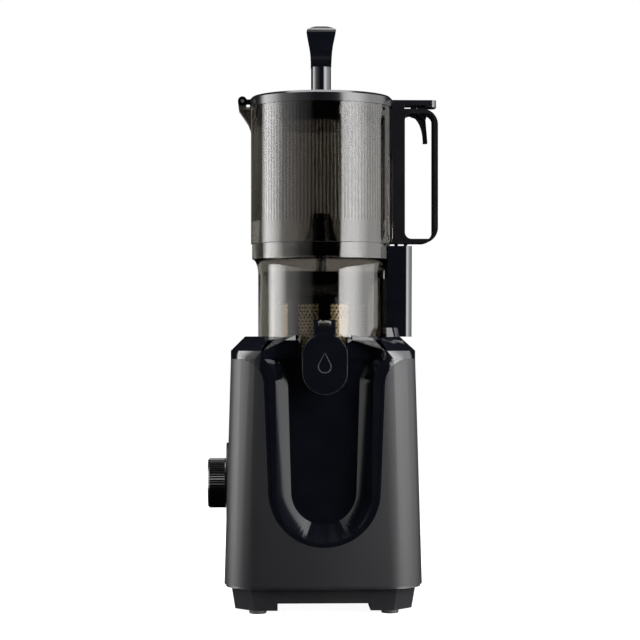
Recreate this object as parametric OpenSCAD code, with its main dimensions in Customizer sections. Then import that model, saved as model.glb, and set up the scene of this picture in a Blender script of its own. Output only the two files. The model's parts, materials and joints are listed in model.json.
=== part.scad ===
// Vertical slow juicer: geared motor base, smoked bowl with strainer and auger, hopper with hinged lid.
// Millimetres, +Z up, front towards -Y. Origin: on the floor, under the axis of the bowl.

/* [Base] */
// Half width of the matt shell at its foot
shell_low_half = 86; // [82:0.5:92]
// Half width of the matt shell at its top
shell_top_half = 80.5; // [78:0.5:86]
// Half depth of the matt shell at its foot
shell_low_depth = 93; // [90:0.5:100]
// Half depth of the matt shell at its top
shell_top_depth = 88; // [86:0.5:94]
// How far the middle of the body lies behind the bowl's axis
body_back = 4; // [2:0.5:8]
// Radius of the body's upright corners
corner_r = 30; // [22:1:36]
// Outward swell of the front face
front_swell = 2; // [0.5:0.5:4]
// Thickness of the casing walls
wall = 3; // [2:0.5:4]
// Height of the foot pads
pad_h = 2.7; // [2:0.1:4]
// Radius of the foot pads
pad_r = 7.5; // [6:0.5:9]
// Height where the base pan ends and the shell starts
pan_top = 24; // [20:0.5:27]
// Height where the shell ends and the deck starts
shell_top = 219; // [214:1:224]

/* [Front panel] */
// Half width of the panel at the top of its straight sides
panel_top_half = 52; // [49:0.5:54]
// Radius of the panel's round lower end
panel_low_r = 48.3; // [46:0.1:50]
// Height of the centre of the panel's lower arc
panel_arc_z = 106; // [96:1:116]
// Radius of the arcs that spread the panel's top edge
panel_flare = 22; // [18:1:24]
// Depth of the panel's recess behind the front face
recess_depth = 14; // [10:0.5:18]
// Half width of the recess at the front
recess_top_half = 43; // [40:0.5:45]
// Radius of the recess's lower end at the front
recess_low_r = 40.3; // [38:0.1:43]
// Width of the sloping band round the recess
recess_bevel = 12; // [8:0.5:15]

/* [Deck] */
// Height of the deck's flat top
deck_top = 238; // [234:1:242]
// Height of the bowl seat's floor
well_floor = 201; // [198:0.5:205]
// Height of the lower edge of the deck's chamfers
deck_edge = 226; // [223:0.5:229]
// Half width of the slot for the juice spout
spout_slot_half = 20.5; // [19:0.5:23]

/* [Bowl] */
// Outer radius of the bowl
bowl_r = 56.5; // [54:0.5:58]
// Thickness of the bowl's wall
bowl_wall = 2.6; // [2:0.1:3.4]
// Outer radius of the bowl's collar
collar_r = 62; // [60.5:0.5:63]
// Height of the collar's top edge
bowl_top = 321; // [316:1:326]
// Height of the collar
collar_h = 13.5; // [10:0.5:18]
// Height of the hollow shoulder under the collar
shoulder_h = 14; // [8:0.5:18]

/* [Juice spout] */
// Half width of the spout's tube
spout_half = 13; // [11:0.5:15]
// Distance from the axis to the spout's front face
spout_reach = 89; // [86:0.5:94]
// Half width of the juice cap
cap_half = 19.3; // [18:0.1:21]
// Height of the lowest point of the juice cap
cap_low = 189; // [186:1:194]
// Height of the juice cap's top edge
cap_high = 239; // [236:0.5:242]
// Depth of the juice cap
cap_depth = 8; // [6:0.5:10]
// Height of the cap's hinge
cap_hinge_z = 249.5; // [248:0.5:252]
// Radius of the cap's hinge pin
cap_pin_r = 1.6; // [1.2:0.1:2]

/* [Strainer and auger] */
// Outer radius of the strainer frame
strainer_r = 42.7; // [41:0.1:45]
// Thickness of the strainer frame's wall
strainer_wall = 2.2; // [1.8:0.1:3]
// Number of windows round the strainer
windows = 9; // [6:1:12]
// Height of the windows' top edge
window_top = 267; // [262:1:272]
// Thickness of the perforated screens
screen_t = 0.6; // [0.4:0.1:1]
// Radius of the auger over its flights
auger_r = 38.6; // [36:0.1:39]
// Turns that each flight makes
auger_turns = 1.2; // [0.8:0.1:1.6]
// Across flats of the drive shaft's hexagon
hex_af = 12; // [10:0.5:14]

/* [Hopper] */
// Outer radius of the hopper
hopper_r = 63; // [62:0.5:65]
// Thickness of the hopper's wall
hopper_wall = 3; // [2:0.1:3.4]
// Height of the hopper's top edge
hopper_top = 443.5; // [430:0.5:460]
// Ribs round the inside of the hopper
hopper_ribs = 120; // [90:2:140]
// Depth of each rib
rib_depth = 0.5; // [0.3:0.1:1.2]
// Outer face of the handle
handle_out = 104.4; // [100:0.5:112]
// Depth of the handle's strap, front to back
handle_depth = 28; // [20:1:34]
// Thickness of the handle's outer strap
strap_t = 3.6; // [3:0.1:5]

/* [Lid and feed handle] */
// Outer radius of the lid
lid_r = 64; // [63.5:0.5:66]
// Thickness of the lid's rim
lid_h = 9.2; // [7:0.1:11]
// Depth of the lid's inner skirt
skirt_h = 16; // [8:0.5:18]
// Distance from the axis to the lid's hinge
lid_hinge_x = 70.7; // [69:0.1:74]
// Radius of the lid's hinge barrel
barrel_r = 4; // [3.5:0.1:5]
// Radius of the feed handle's stem
stem_r = 9; // [7:0.5:10]
// Height of the feed handle's top
grip_top = 516.4; // [505:0.1:525]
// Half width of the feed handle at its top
grip_half = 13; // [11:0.5:16]

/* [Dial] */
// Radius of the dial
dial_r = 22.2; // [18:0.1:24]
// Height of the dial's centre
dial_z = 107; // [98:1:116]
// Outer face of the dial
dial_out = 101.3; // [99:0.1:106]
// Thickness of the dial's grooved part
dial_t = 15; // [12:0.5:16]
// Radius of the raised round plate behind the dial
plate_r = 36; // [30:1:40]

/* [Gear train] */
// Module of the gears
gear_module = 1.25; // [1.25:0.05:1.3]
// Teeth of the motor's pinion
pinion_teeth = 12; // [12:1:14]
// Teeth of the first wheel
first_wheel_teeth = 48; // [46:1:50]
// Teeth of the second pinion
second_pinion_teeth = 14; // [13:1:15]
// Radius of the motor's case
motor_r = 42; // [38:0.5:44]

/* [Hidden] */
$fn = 96;
eps = 0.01;
seam = 0.2;          // gap along the seams between fixed covers
seat = 0.3;          // gap between a lifted piece and what it rests on
run = 0.08;          // radial clearance of a running fit
far = 400;           // length that passes everything
dark = [0.10, 0.10, 0.11];
gloss = [0.03, 0.03, 0.04];
smoke = [0.30, 0.26, 0.22];
gold = [0.86, 0.76, 0.55];
steel = [0.70, 0.71, 0.73];
grey = [0.45, 0.45, 0.47];

// ---- casing outline -------------------------------------------------------
function rise(z) = (z - pan_top) / (shell_top - pan_top);
function half_w(z) = shell_low_half + rise(z) * (shell_top_half - shell_low_half);
function half_d(z) = shell_low_depth + rise(z) * (shell_top_depth - shell_low_depth);
function front_y(z) = body_back - half_d(z);
function back_y(z) = body_back + half_d(z);
function arc(cx, cy, r, from, to, n) =
    [for (i = [0:n]) [cx + r * cos(from + (to - from) * i / n), cy + r * sin(from + (to - from) * i / n)]];
function bezier(a, b, c, d, n) =
    [for (i = [0:n]) let (t = i / n, u = 1 - t)
        u * u * u * a + 3 * u * u * t * b + 3 * u * t * t * c + t * t * t * d];
function flip(points) = [for (i = [len(points) - 1:-1:0]) [-points[i][0], points[i][1]]];

// Plan of the body: round corners and a slightly swollen front.
function plan(hw, hd, r) =
    let (back = concat(arc(hw - r, hd - r, r, 0, 90, 10), arc(r - hw, hd - r, r, 90, 180, 10)),
         left = arc(r - hw, r - hd, r, 180, 270, 10),
         span = hw - r,
         front = [for (i = [-4:4]) [span * i / 5, -hd - front_swell * (1 - pow(i / 5, 2))]],
         right = arc(hw - r, r - hd, r, 270, 360, 10))
    [for (p = concat(back, left, front, right)) [p[0], p[1] + body_back]];

module plan_slab(z, inset = 0) {
    translate([0, 0, z])
        linear_extrude(eps)
            polygon(plan(half_w(z) - inset, half_d(z) - inset, corner_r - inset));
}

// Tapering body between two heights.
module body_solid(z0, z1, inset = 0) {
    hull() {
        plan_slab(z0, inset);
        plan_slab(z1 - eps, inset);
    }
}

// U-shaped outline in X and Z: round below, straight sides, and arcs that spread at the top.
function u_half(top_half, low_r, arc_z, flare_z, flare, sweep) =
    concat(arc(0, arc_z, low_r, 270, 360, 16),
           arc(top_half + flare, flare_z, flare, 180, 180 - sweep, 10));
function u_outline(top_half, low_r, arc_z, flare_z, flare, sweep) =
    let (right = u_half(top_half, low_r, arc_z, flare_z, flare, sweep),
         left = flip(right))
    concat(right, [for (i = [0:len(left) - 2]) left[i]]);

module along_y(y0, y1) {
    translate([0, y1, 0])
        rotate([90, 0, 0])
            linear_extrude(y1 - y0)
                children();
}

// Ruled solid between two outlines of equal length that lie in planes of constant Y.
module loft(front, y0, back, y1) {
    n = len(front);
    points = concat([for (p = front) [p[0], y0, p[1]]], [for (p = back) [p[0], y1, p[1]]]);
    sides = [for (i = [0:n - 1]) each [[i, (i + 1) % n, n + i], [(i + 1) % n, n + (i + 1) % n, n + i]]];
    caps = [[for (i = [n - 1:-1:0]) i], [for (i = [0:n - 1]) n + i]];
    polyhedron(points, concat(caps, sides));
}

// ---- base -----------------------------------------------------------------
leg_w = 46;                       // width of a leg block at the corner
pan_floor = 9;                    // underside of the pan between the legs
pan_draft = 3.4;                  // how far the pan narrows towards the floor
pan_plate = 4;                    // thickness of the pan's floor
pan_inset = 6;                    // how far the pan's skirt lies inside the shell
pan_rim = 2;                      // thickness of the rim that carries the shell
foot_x = 57;
foot_front = -73;
foot_back = 80;
screw_r = 2;
screw_head_r = 3.6;
screw_head_t = 2.4;

module pan_slab(z, inset) {
    hw = half_w(pan_top) - inset;
    hd = half_d(pan_top) - inset;
    c = 17;
    translate([0, body_back, z])
        linear_extrude(eps)
            polygon([[hw, hd - c], [hw - c, hd], [c - hw, hd], [-hw, hd - c],
                     [-hw, c - hd], [c - hw, -hd], [hw - c, -hd], [hw, c - hd]]);
}

module pan_form(inset, z0) {
    hull() {
        pan_slab(z0, inset + pan_draft);
        pan_slab(pan_top - eps, inset);
    }
}

module at_feet() {
    for (x = [-foot_x, foot_x], y = [foot_front, foot_back])
        translate([x, y, 0])
            children();
}

module pan_posts() {
    for (a = [45:90:315])
        rotate(a)
            translate([motor_r + 14, 0, 0])
                children();
}

module base_pan() {
    span_x = half_w(pan_top) - leg_w;
    span_y = half_d(pan_top) - leg_w;
    color(gloss)
        difference() {
            union() {
                pan_form(pan_inset, pad_h);
                body_solid(pan_top - pan_rim, pan_top, 1.5);
                body_solid(pan_top, pan_top + 4, wall + seam);
            }
            translate([0, body_back, pan_floor + pan_plate])
                linear_extrude(far)
                    offset(12)
                        square(2 * [shell_low_half - 26, shell_low_depth - 26], center = true);
            translate([-span_x, -far / 2, -far + pan_floor])
                cube([2 * span_x, far, far]);
            translate([-far / 2, body_back - span_y, -far + pan_floor])
                cube([far, 2 * span_y, far]);
            for (i = [-4:4])
                translate([i * 9, 20, 0])
                    linear_extrude(far)
                        square([4, 30], center = true);
            pan_posts()
                cylinder(r = screw_r, h = far);
        }
}

module rubber_feet() {
    color([0.08, 0.08, 0.08])
        at_feet()
            rotate_extrude()
                polygon([[0, 0], [pad_r - 0.6, 0], [pad_r, 0.6], [pad_r, pad_h], [0, pad_h]]);
}

motor_z0 = 40;
motor_z1 = 104;
post_r = 6;

module pan_screws() {
    color(steel)
        pan_posts()
            translate([0, 0, pan_floor - screw_head_t]) {
                cylinder(r = screw_head_r, h = screw_head_t);
                cylinder(r = screw_r - 0.1, h = screw_head_t + pan_plate + 9);
            }
}

// ---- matt shell -----------------------------------------------------------
panel_flare_z = shell_top - panel_flare;
gland_z = 44;
gland_r = 7;
dial_y = -4;
dial_shaft_r = 3;

module panel_area(gap) {
    along_y(-far / 2, body_back - corner_r)
        polygon(u_outline(panel_top_half - gap, panel_low_r - gap, panel_arc_z, panel_flare_z + eps,
                          panel_flare + gap, 90));
}

module along_x(x0, x1, y, z, r) {
    translate([x0, y, z])
        rotate([0, 90, 0])
            cylinder(r = r, h = x1 - x0);
}

vent_rows = 7;
vent_pitch = 7;
vent_low = 70;

module outer_shell() {
    color(dark)
        difference() {
            body_solid(pan_top, shell_top);
            body_solid(pan_top - 1, shell_top + 1, wall);
            panel_area(0);
            along_x(-far / 2, 0, dial_y, dial_z, dial_shaft_r + 3);
            translate([0, back_y(gland_z) + 10, gland_z])
                rotate([90, 0, 0])
                    cylinder(r = gland_r, h = 30);
            for (i = [0:vent_rows - 1])
                translate([-28, back_y(vent_low) - 15, vent_low + i * vent_pitch])
                    cube([56, 30, 2.6]);
        }
}

// ---- gloss front panel ----------------------------------------------------
recess_flare = 30;
recess_sweep = 50;
recess_flare_z = shell_top - recess_flare * sin(recess_sweep);
recess_y = front_y(shell_top) + recess_depth;

function recess_outline(inset) =
    u_outline(recess_top_half - inset, recess_low_r - inset, panel_arc_z - 2, recess_flare_z, recess_flare,
              recess_sweep);

recess_rim = front_y(pan_top) + 2;   // plane where the recess has its full width

module recess(grow) {
    overshoot = 6;
    slope = recess_bevel / (recess_y - recess_rim);
    back = recess_y + grow;
    intersection() {
        loft(recess_outline(-slope * overshoot - grow), recess_rim - overshoot,
             recess_outline(recess_bevel + slope * (grow + 1) - grow), back + 1);
        translate([-far / 2, back - far, 0])
            cube([far, far, far]);
    }
}

module spout_slot(z0) {
    translate([-spout_slot_half, -far / 2, z0])
        cube([2 * spout_slot_half, far / 2 - collar_r + 8, far]);
}

slot_floor = 205.5;

trim_w = 2.6;                     // width of the narrow outer strip of the rim
trim_groove = 0.5;                // width and depth of the line that sets it off

module panel_skin() {
    difference() {
        intersection() {
            body_solid(pan_top, shell_top);
            panel_area(seam);
        }
        body_solid(pan_top - 1, shell_top + 1, wall);
        difference() {
            panel_area(trim_w);
            panel_area(trim_w + trim_groove);
            body_solid(pan_top - 1, shell_top + 1, trim_groove);
        }
    }
}

module panel_tray() {
    intersection() {
        body_solid(pan_top, shell_top);
        recess(wall - 0.5);
    }
}

module front_panel() {
    color(gloss)
        difference() {
            union() {
                panel_skin();
                panel_tray();
                at_board_corners()
                    cylinder(r = 3, h = board_gap + 1, $fn = 24);
            }
            recess(0);
            spout_slot(slot_floor);
        }
}

// ---- gloss deck with the bowl's seat --------------------------------------
deck_side = shell_top_half - (deck_top - deck_edge);
deck_front = -71.5;
well_r = bowl_r + 1;
tower_wrap = bowl_r + 1.5;
outlet_slot_half = 17;

// The deck's faceted form: eight-sided above, the body's plan below.
module deck_form(inset) {
    hw = shell_top_half - inset;
    y_front = front_y(shell_top) + inset;
    y_back = back_y(shell_top) - inset;
    side = deck_side - inset;
    hull() {
        plan_slab(shell_top, inset);
        translate([0, 0, deck_edge - inset])
            linear_extrude(eps)
                polygon([[54, y_front], [72 - inset, y_front + 9], [hw, y_front + 30], [hw, y_back - 30],
                         [hw - 30, y_back], [30 - hw, y_back], [-hw, y_back - 30], [-hw, y_front + 30],
                         [inset - 72, y_front + 9], [-54, y_front]]);
        translate([0, 0, deck_top - inset - eps])
            linear_extrude(eps)
                polygon([[47, deck_front + inset], [60 - inset, -54], [side, -36], [side, y_back - 34],
                         [side - 18, y_back - 14], [18 - side, y_back - 14], [-side, y_back - 34],
                         [-side, -36], [inset - 60, -54], [-47, deck_front + inset]]);
    }
}

// Cut that carries the front panel's recess on through the deck.
module deck_front_cut(grow) {
    inner = recess_top_half - recess_bevel + recess_flare * (1 - cos(recess_sweep)) + grow;
    outer = recess_top_half + recess_flare * (1 - cos(recess_sweep)) + grow;
    back = recess_y - 2.5 + grow;
    translate([0, 0, shell_top - 1])
        linear_extrude(far)
            polygon([[-inner, back], [inner, back], [outer, front_y(pan_top) + 4 + grow],
                     [outer, -far / 2], [-outer, -far / 2], [-outer, front_y(pan_top) + 4 + grow]]);
}

module top_deck() {
    color(gloss)
        difference() {
            union() {
                difference() {
                    deck_form(0);
                    deck_form(wall);
                    translate([0, 0, shell_top - 1])
                        linear_extrude(1 + 2 * eps)
                            polygon(plan(half_w(shell_top) - wall, half_d(shell_top) - wall, corner_r - wall));
                }
                translate([0, 0, well_floor - wall])
                    cylinder(r = well_r + wall, h = deck_top - well_floor + wall);
                intersection() {
                    translate([0, 0, shell_top])
                        linear_extrude(deck_top - shell_top)
                            square([2 * (spout_slot_half + wall), far], center = true);
                    deck_form(0);
                    translate([-far / 2, -far, 0])
                        cube([far, far - bowl_r, far]);
                }
                intersection() {
                    translate([0, 0, shell_top])
                        linear_extrude(deck_top - shell_top)
                            square([2 * (outlet_slot_half + wall), far], center = true);
                    deck_form(0);
                    translate([-far / 2, bowl_r, 0])
                        cube([far, far, far]);
                }
                intersection() {
                    deck_form(0);
                    deck_front_cut(wall);
                }
            }
            translate([0, 0, well_floor])
                cylinder(r = well_r, h = far);
            translate([0, 0, well_floor - far / 2])
                cylinder(r = seal_r, h = far);
            deck_front_cut(0);
            spout_slot(slot_floor);
            translate([-outlet_slot_half, bowl_r - 6, slot_floor])
                cube([2 * outlet_slot_half, far / 2, far]);
        }
}

// ---- safety tower ---------------------------------------------------------
tower_top = bowl_top - 2;
tower_out_low = 83;
tower_out_top = 80.8;
tower_in = 63;                    // inner face beside the collar
tower_half = 22;
plinth_h = 8;
key_half = 2.6;                   // half depth of the key slots in the tower's top
key_x = [66, 74.5];

module tower_slab(z, x_in, x_out, half) {
    translate([0, 0, z])
        linear_extrude(eps)
            hull() {
                translate([x_in, -half])
                    square([4, 2 * half]);
                for (s = [-1, 1])
                    translate([x_out - 7, s * (half - 7)])
                        circle(r = 7, $fn = 32);
            }
}

module tower_form(inset) {
    hull() {
        tower_slab(deck_top, tower_in - 6 + inset, tower_out_low - 2.5 - inset, tower_half - inset);
        tower_slab(tower_top - inset - eps, tower_in - 6 + inset, tower_out_top - inset, tower_half - inset);
    }
}

module safety_tower() {
    color(gloss)
        difference() {
            union() {
                tower_form(0);
                hull() {
                    tower_slab(deck_top, tower_in - 6, deck_side, tower_half + 14);
                    tower_slab(deck_top + plinth_h - eps, tower_in - 6, deck_side - 1, tower_half + 6);
                }
            }
            intersection() {
                tower_form(wall);
                translate([tower_in + 2.5, -far / 2, deck_top + wall])
                    cube(far);
            }
            translate([0, 0, deck_top - 1])
                cylinder(r = tower_wrap, h = far);
            translate([0, 0, bowl_top - collar_h - shoulder_h - 3])
                cylinder(r = collar_r + 0.5, h = far);
            for (x = key_x)
                translate([x, -key_half - 0.4, tower_top - 6])
                    cube([3.6, 2 * key_half + 0.8, 20]);
        }
}

switch_h = 16;

module safety_switch() {
    z0 = tower_top - 26;
    color(grey) {
        translate([tower_in + 2.5, -5, z0])
            cube([11, 10, switch_h - 5]);
        translate([key_x[0] + 0.8, -1.5, z0 + switch_h - 5])
            cube([2, 3, 2.5]);
        for (y = [-4, 2])
            translate([tower_in + 4, y, z0 - 3])
                cube([6, 0.6 + 1, 3]);
    }
}

// ---- dial on the left side ------------------------------------------------
plate_out = -half_w(dial_z) - 1.2;
dial_in = plate_out - seat;
neck_r = dial_r - 4;
switch_in = half_w(dial_z) - wall - 20;
groove_n = 60;

module dial_plate() {
    color(dark)
        difference() {
            along_x(plate_out, -half_w(dial_z + plate_r) + 0.5, dial_y, dial_z, plate_r);
            body_solid(pan_top, shell_top);
            along_x(-far / 2, 0, dial_y, dial_z, dial_shaft_r + run);
        }
}

function grooved(r, depth, n) = [for (i = [0:2 * n - 1]) let (a = i * 180 / n, q = i % 2 == 0 ? r : r - depth)
    [q * cos(a), q * sin(a)]];

module dial() {
    edge = 1.6;
    body_t = dial_out + dial_in - 0.3;
    color(gloss)
        translate([-dial_out, dial_y, dial_z])
            rotate([0, 90, 0])
                difference() {
                    union() {
                        difference() {
                            rotate_extrude()
                                polygon([[0, 0], [dial_r - edge, 0], [dial_r, edge], [dial_r, body_t], [0, body_t]]);
                            difference() {
                                translate([0, 0, -1])
                                    cylinder(r = dial_r + 1, h = dial_t + 1);
                                translate([0, 0, -2])
                                    linear_extrude(dial_t + 3)
                                        polygon(grooved(dial_r + 0.02, 0.72, groove_n));
                            }
                        }
                        cylinder(r = neck_r, h = dial_out + dial_in);
                        cylinder(r = dial_shaft_r, h = dial_out - switch_in - 12);
                    }
                    translate([dial_r - 5, -0.6, -1])
                        cube([4, 1.2, 1.6]);
                }
}

module rotary_switch() {
    color(grey)
        difference() {
            union() {
                along_x(-switch_in - 16, -switch_in, dial_y, dial_z, 13);
                translate([-switch_in - 16, dial_y - 16, dial_z - 5])
                    cube([2, 32, 10]);
            }
            along_x(-far / 2, -switch_in - 11.5, dial_y, dial_z, dial_shaft_r + run);
        }
}

board_low = 108;
board_half = 27;
board_h = 58;
board_gap = 5;                    // height of the bosses that carry the board
board_y = front_y(shell_top) + recess_depth + wall - 0.5 + board_gap;
boss_inset = 5;

module at_board_corners() {
    for (x = [boss_inset - board_half, board_half - boss_inset],
         z = [board_low + boss_inset, board_low + board_h - boss_inset])
        translate([x, board_y, z])
            rotate([90, 0, 0])
                children();
}

module control_board() {
    color([0.10, 0.30, 0.16])
        translate([-board_half, board_y, board_low])
            cube([2 * board_half, 1.6, board_h]);
    color(grey)
        for (p = [[-16, 4, 9], [-4, 5, 14], [-18, 22, 10], [-4, 24, 8], [8, 26, 9]])
            translate([p[0], board_y + 1.6, board_low + p[1]])
                cube([p[2], 6, 12]);
}

module cord_gland() {
    color([0.08, 0.08, 0.08])
        translate([0, back_y(gland_z) + 4, gland_z])
            rotate([90, 0, 0])
                difference() {
                    union() {
                        cylinder(r = gland_r + 2.5, h = 3.4);
                        cylinder(r = gland_r - 0.2, h = 14);
                    }
                    translate([0, 0, -1])
                        cylinder(r = 3.4, h = 20);
                }
}

// ---- motor ----------------------------------------------------------------
motor_shaft_r = 4;
case_t = 2;

module motor_bolts() {
    for (a = [60, 180, 300])
        rotate(a)
            translate([motor_r - 8, 0, motor_z1 - case_t - 1])
                children();
}

module motor_case() {
    color(steel)
        difference() {
            union() {
                translate([0, 0, motor_z0])
                    cylinder(r = motor_r, h = motor_z1 - motor_z0);
                pan_posts()
                    translate([0, 0, motor_z0])
                        cylinder(r = post_r, h = 6);
                for (a = [45:90:315])
                    rotate(a)
                        translate([motor_r - 2, -post_r, motor_z0])
                            cube([16, 2 * post_r, 6]);
                pan_posts()
                    translate([0, 0, pan_floor + pan_plate])
                        cylinder(r = post_r, h = motor_z0 - pan_floor - pan_plate + 1);
            }
            translate([0, 0, motor_z0 + case_t])
                cylinder(r = motor_r - case_t, h = motor_z1 - motor_z0 - 2 * case_t);
            cylinder(r = motor_shaft_r + run, h = far);
            pan_posts()
                cylinder(r = screw_r + 0.1, h = pan_floor + pan_plate + 10);
            motor_bolts()
                cylinder(r = screw_r, h = far);
            for (a = [0:30:330])
                rotate(a)
                    translate([20, -2, motor_z0 - 1])
                        cube([12, 4, case_t + 2]);
        }
}

stator_z0 = motor_z0 + 14;
stator_z1 = motor_z1 - 10;
rotor_r = 24;

module stator() {
    color([0.72, 0.42, 0.22])
        translate([0, 0, stator_z0])
            linear_extrude(stator_z1 - stator_z0)
                difference() {
                    circle(r = motor_r - case_t);
                    circle(r = rotor_r + 1);
                    for (a = [0:60:300])
                        rotate(a)
                            translate([rotor_r - 2, -3])
                                square([9, 6]);
                }
}

// ---- gears ----------------------------------------------------------------
gear_gap = 0.25;                  // play between meshing flanks
wheel_1_z = 119;
wheel_1_t = 9;
wheel_2_z = 133;
wheel_2_t = 12;
lay_y = gear_module * (pinion_teeth + first_wheel_teeth) / 2;
output_teeth = pinion_teeth + first_wheel_teeth - second_pinion_teeth;
lay_r = 5;
lid_in = 149;                     // underside of the gearbox lid
box_floor = 110;
output_r = 8;

function gear_points(teeth, gap) =
    let (pitch_r = gear_module * teeth / 2, outer = pitch_r + 0.9 * gear_module - gap,
         root = pitch_r - 1.15 * gear_module - gap, step = 360 / teeth, half = step / 4 - 20 * gap / pitch_r)
    [for (i = [0:teeth - 1], k = [[-1.35, root], [-0.55, outer], [0.55, outer], [1.35, root]])
        let (a = i * step + k[0] * half) [k[1] * cos(a), k[1] * sin(a)]];

module gear(teeth, t, turn = 0) {
    rotate(turn)
        linear_extrude(t)
            polygon(gear_points(teeth, gear_gap / 2));
}

module motor_rotor() {
    color(steel) {
        translate([0, 0, motor_z0 - 4])
            cylinder(r = motor_shaft_r, h = wheel_1_z - motor_z0 + 4.5);
        translate([0, 0, wheel_1_z])
            gear(pinion_teeth, wheel_1_t);
        translate([0, 0, stator_z0])
            cylinder(r = rotor_r, h = stator_z1 - stator_z0);
    }
}

module motor_fan() {
    color(grey)
        translate([0, 0, motor_z0 + case_t + 1]) {
            difference() {
                union() {
                    cylinder(r = 9, h = 9);
                    cylinder(r = 30, h = 1.5);
                    for (a = [0:36:324])
                        rotate(a)
                            translate([8, -0.8, 0])
                                cube([24, 1.6, 8]);
                }
                translate([0, 0, -1])
                    cylinder(r = motor_shaft_r, h = 12);
            }
        }
}

module motor_screws() {
    color(steel)
        motor_bolts()
            cylinder(r = screw_r, h = box_floor + 4 - motor_z1 + case_t);
}

box_r = 36;
box_wall = 3;

module box_plan(grow) {
    hull() {
        circle(r = box_r + grow);
        translate([0, lay_y])
            circle(r = gear_module * first_wheel_teeth / 2 + 3.5 + grow);
    }
}

ear_reach = box_r + box_wall + 3;

module box_ears() {
    for (s = [-1, 1], y = [-ear_reach / 2, ear_reach / 3])
        translate([s * (y < 0 ? ear_reach * cos(30) : ear_reach), y, 0])
            children();
}

module gearbox_case() {
    color(grey)
        difference() {
            union() {
                translate([0, 0, box_floor])
                    linear_extrude(lid_in - box_floor)
                        box_plan(box_wall);
                translate([0, 0, lid_in - 8])
                    box_ears()
                        cylinder(r = 5, h = 8);
                translate([0, 0, motor_z1])
                    cylinder(r = 12, h = box_floor - motor_z1 + 1);
                motor_bolts()
                    translate([0, 0, case_t + 1])
                        cylinder(r = 5, h = box_floor - motor_z1 + 1);
            }
            translate([0, 0, box_floor + 3])
                linear_extrude(far)
                    box_plan(0);
            cylinder(r = motor_shaft_r + run, h = far);
            translate([0, lay_y, box_floor + 0.8])
                cylinder(r = lay_r + run, h = 10);
            motor_bolts()
                cylinder(r = screw_r, h = far);
            box_ears()
                cylinder(r = screw_r - 0.2, h = far);
        }
}

bearing_r = 14;
bearing_t = 9;

module gearbox_lid() {
    color(grey)
        difference() {
            union() {
                translate([0, 0, lid_in])
                    linear_extrude(4)
                        box_plan(box_wall);
                translate([0, 0, lid_in])
                    box_ears()
                        cylinder(r = 5, h = 4);
                translate([0, 0, lid_in + 3])
                    rotate_extrude()
                        polygon([[0, 0], [bearing_r + 9, 0], [bearing_r + 4, 8],
                                 [bearing_r + 3, well_floor - wall - lid_in - 3],
                                 [0, well_floor - wall - lid_in - 3]]);
                translate([0, lay_y, lid_in + 3])
                    cylinder(r = lay_r + 5, h = 6);
            }
            translate([0, 0, lid_in - 1])
                cylinder(r = bearing_r, h = far);
            translate([0, lay_y, lid_in - 1])
                cylinder(r = lay_r + run, h = 7);
            box_ears()
                cylinder(r = screw_r, h = far);
        }
}

module gearbox_screws() {
    color(steel)
        box_ears() {
            translate([0, 0, lid_in + 4])
                cylinder(r = screw_head_r, h = screw_head_t);
            translate([0, 0, lid_in - 8])
                cylinder(r = screw_r - 0.2, h = 12 + eps);
        }
}

module layshaft_gears() {
    color(steel)
        translate([0, lay_y, 0]) {
            translate([0, 0, box_floor + 1])
                cylinder(r = lay_r, h = lid_in + 5 - box_floor - 1);
            translate([0, 0, wheel_1_z])
                gear(first_wheel_teeth, wheel_1_t, 90 + (first_wheel_teeth % 2 == 0 ? 180 / first_wheel_teeth : 0));
            translate([0, 0, wheel_2_z - 3])
                cylinder(r = lay_r + 2.5, h = 2);
            translate([0, 0, wheel_2_z - 1])
                gear(second_pinion_teeth, wheel_2_t + 2, 90);
        }
}

module output_gear() {
    color(steel) {
        translate([0, 0, wheel_2_z])
            gear(output_teeth, wheel_2_t, 90 + (output_teeth % 2 == 0 ? 180 / output_teeth : 0));
        translate([0, 0, wheel_2_z - 2])
            cylinder(r = output_r, h = well_floor + 4 - wheel_2_z + 2);
        translate([0, 0, well_floor + 4])
            cylinder(r = hex_af / 2 / cos(30), h = 22, $fn = 6);
    }
}

module shaft_bearings() {
    color(steel)
        for (z = [lid_in + 1, well_floor - wall - bearing_t - 1])
            translate([0, 0, z])
                difference() {
                    cylinder(r = bearing_r, h = bearing_t);
                    translate([0, 0, -1])
                        cylinder(r = output_r + run, h = bearing_t + 2);
                }
}

seal_r = 13;

module shaft_seal() {
    color([0.55, 0.10, 0.08])
        translate([0, 0, well_floor - wall])
            difference() {
                cylinder(r = seal_r, h = wall);
                translate([0, 0, -1])
                    cylinder(r = output_r + run, h = wall + 2);
            }
}

// ---- bowl -----------------------------------------------------------------
bowl_low = well_floor + seat;
bowl_floor = 3;
hub_r = 15;                       // raised hub round the drive shaft
hub_top = bowl_low + 9;
bowl_in = bowl_r - bowl_wall;
collar_low = bowl_top - collar_h;
shoulder_low = collar_low - shoulder_h;
spout_low = 209;
spout_high = 236;
outlet_reach = back_y(deck_edge) - 6;
outlet_half = 14;
face_t = 3;
face_gap = 1.6;                   // how far the spout's face stays inside the cap
pin_reach = 9;                    // half length of the cap's pin
ear_in = 5.4;                     // half width of the bowl's hinge lug, plus its play
cap_front = spout_reach + seat + cap_depth;

// Hollow, concave shoulder from the collar down to the wall.
function shoulder(r0, r1, z0, z1) =
    [for (i = [0:8]) let (a = 90 * i / 8) [r0 + (r1 - r0) * (1 - cos(a)), z0 + (z1 - z0) * sin(a)]];

module cap_plan(inset) {
    hull() {
        for (z = [cap_low + cap_half, cap_high - cap_half + 2])
            translate([0, z])
                circle(r = cap_half - inset, $fn = 64);
    }
}

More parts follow.
